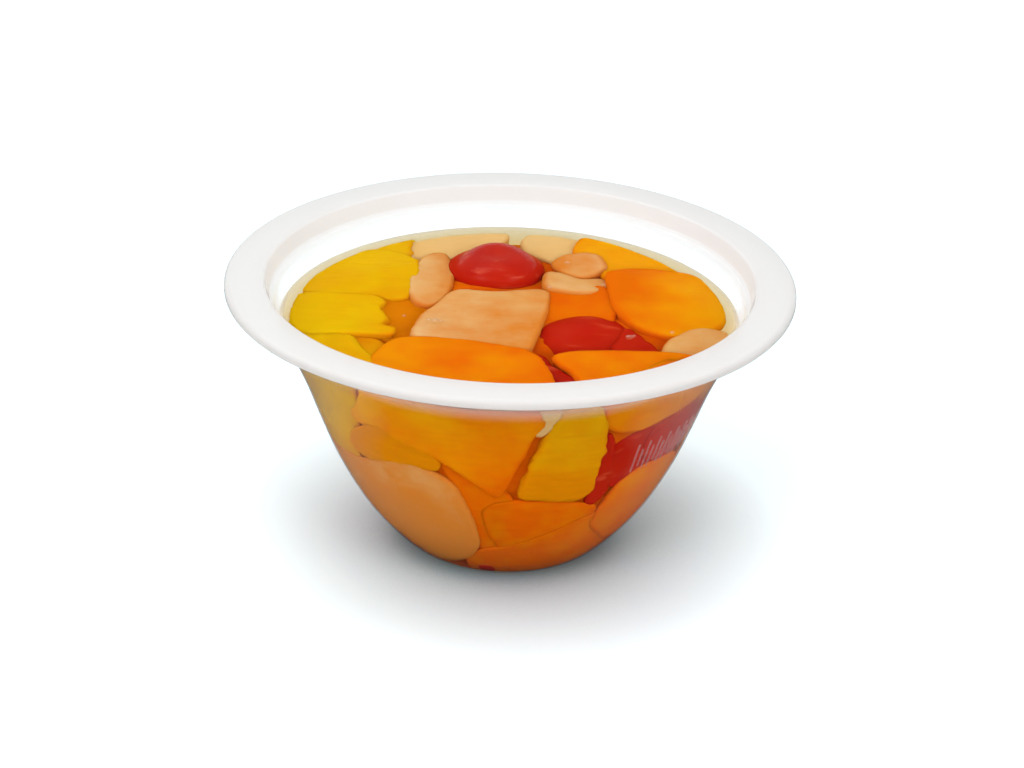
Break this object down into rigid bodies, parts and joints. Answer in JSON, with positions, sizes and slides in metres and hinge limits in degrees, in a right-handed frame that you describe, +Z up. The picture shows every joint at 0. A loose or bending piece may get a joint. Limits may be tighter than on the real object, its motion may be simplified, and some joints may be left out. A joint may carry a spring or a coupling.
{
  "type": "fruit cup",
  "caption": "Clear bowl-shaped cup with a wide round flange, filled with diced peach, pear, pineapple and cherries in syrup.",
  "frame": {"origin": "centre of the cup's flat base, on the surface that it stands on", "axes": "+Z up along the cup's axis, -Y towards the viewer, +X to the viewer's right"},
  "size_m": [0.095, 0.095, 0.0476],
  "materials": {
    "clear_plastic": "clear thermoformed polypropylene, slightly milky, glossy, with a wide smooth flange",
    "peach": "wet cut peach, orange, smooth on the outer face and finely fibrous on the cuts",
    "pear": "wet cut pear, straw to tan, translucent and faintly grainy",
    "pineapple": "wet cut pineapple, strong yellow, fibrous with ragged ends",
    "cherry": "candied cherry, bright red, glossy skin",
    "syrup": "clear amber fruit syrup with a still, glossy surface"
  },
  "bodies": {
    "root": {"cup": "clear_plastic", "fruit_heap": "peach", "cherry_top": "cherry", "cherry_front": "cherry", "cherry_side": "cherry", "cherry_back": "cherry"}
  },
  "joints": []
}
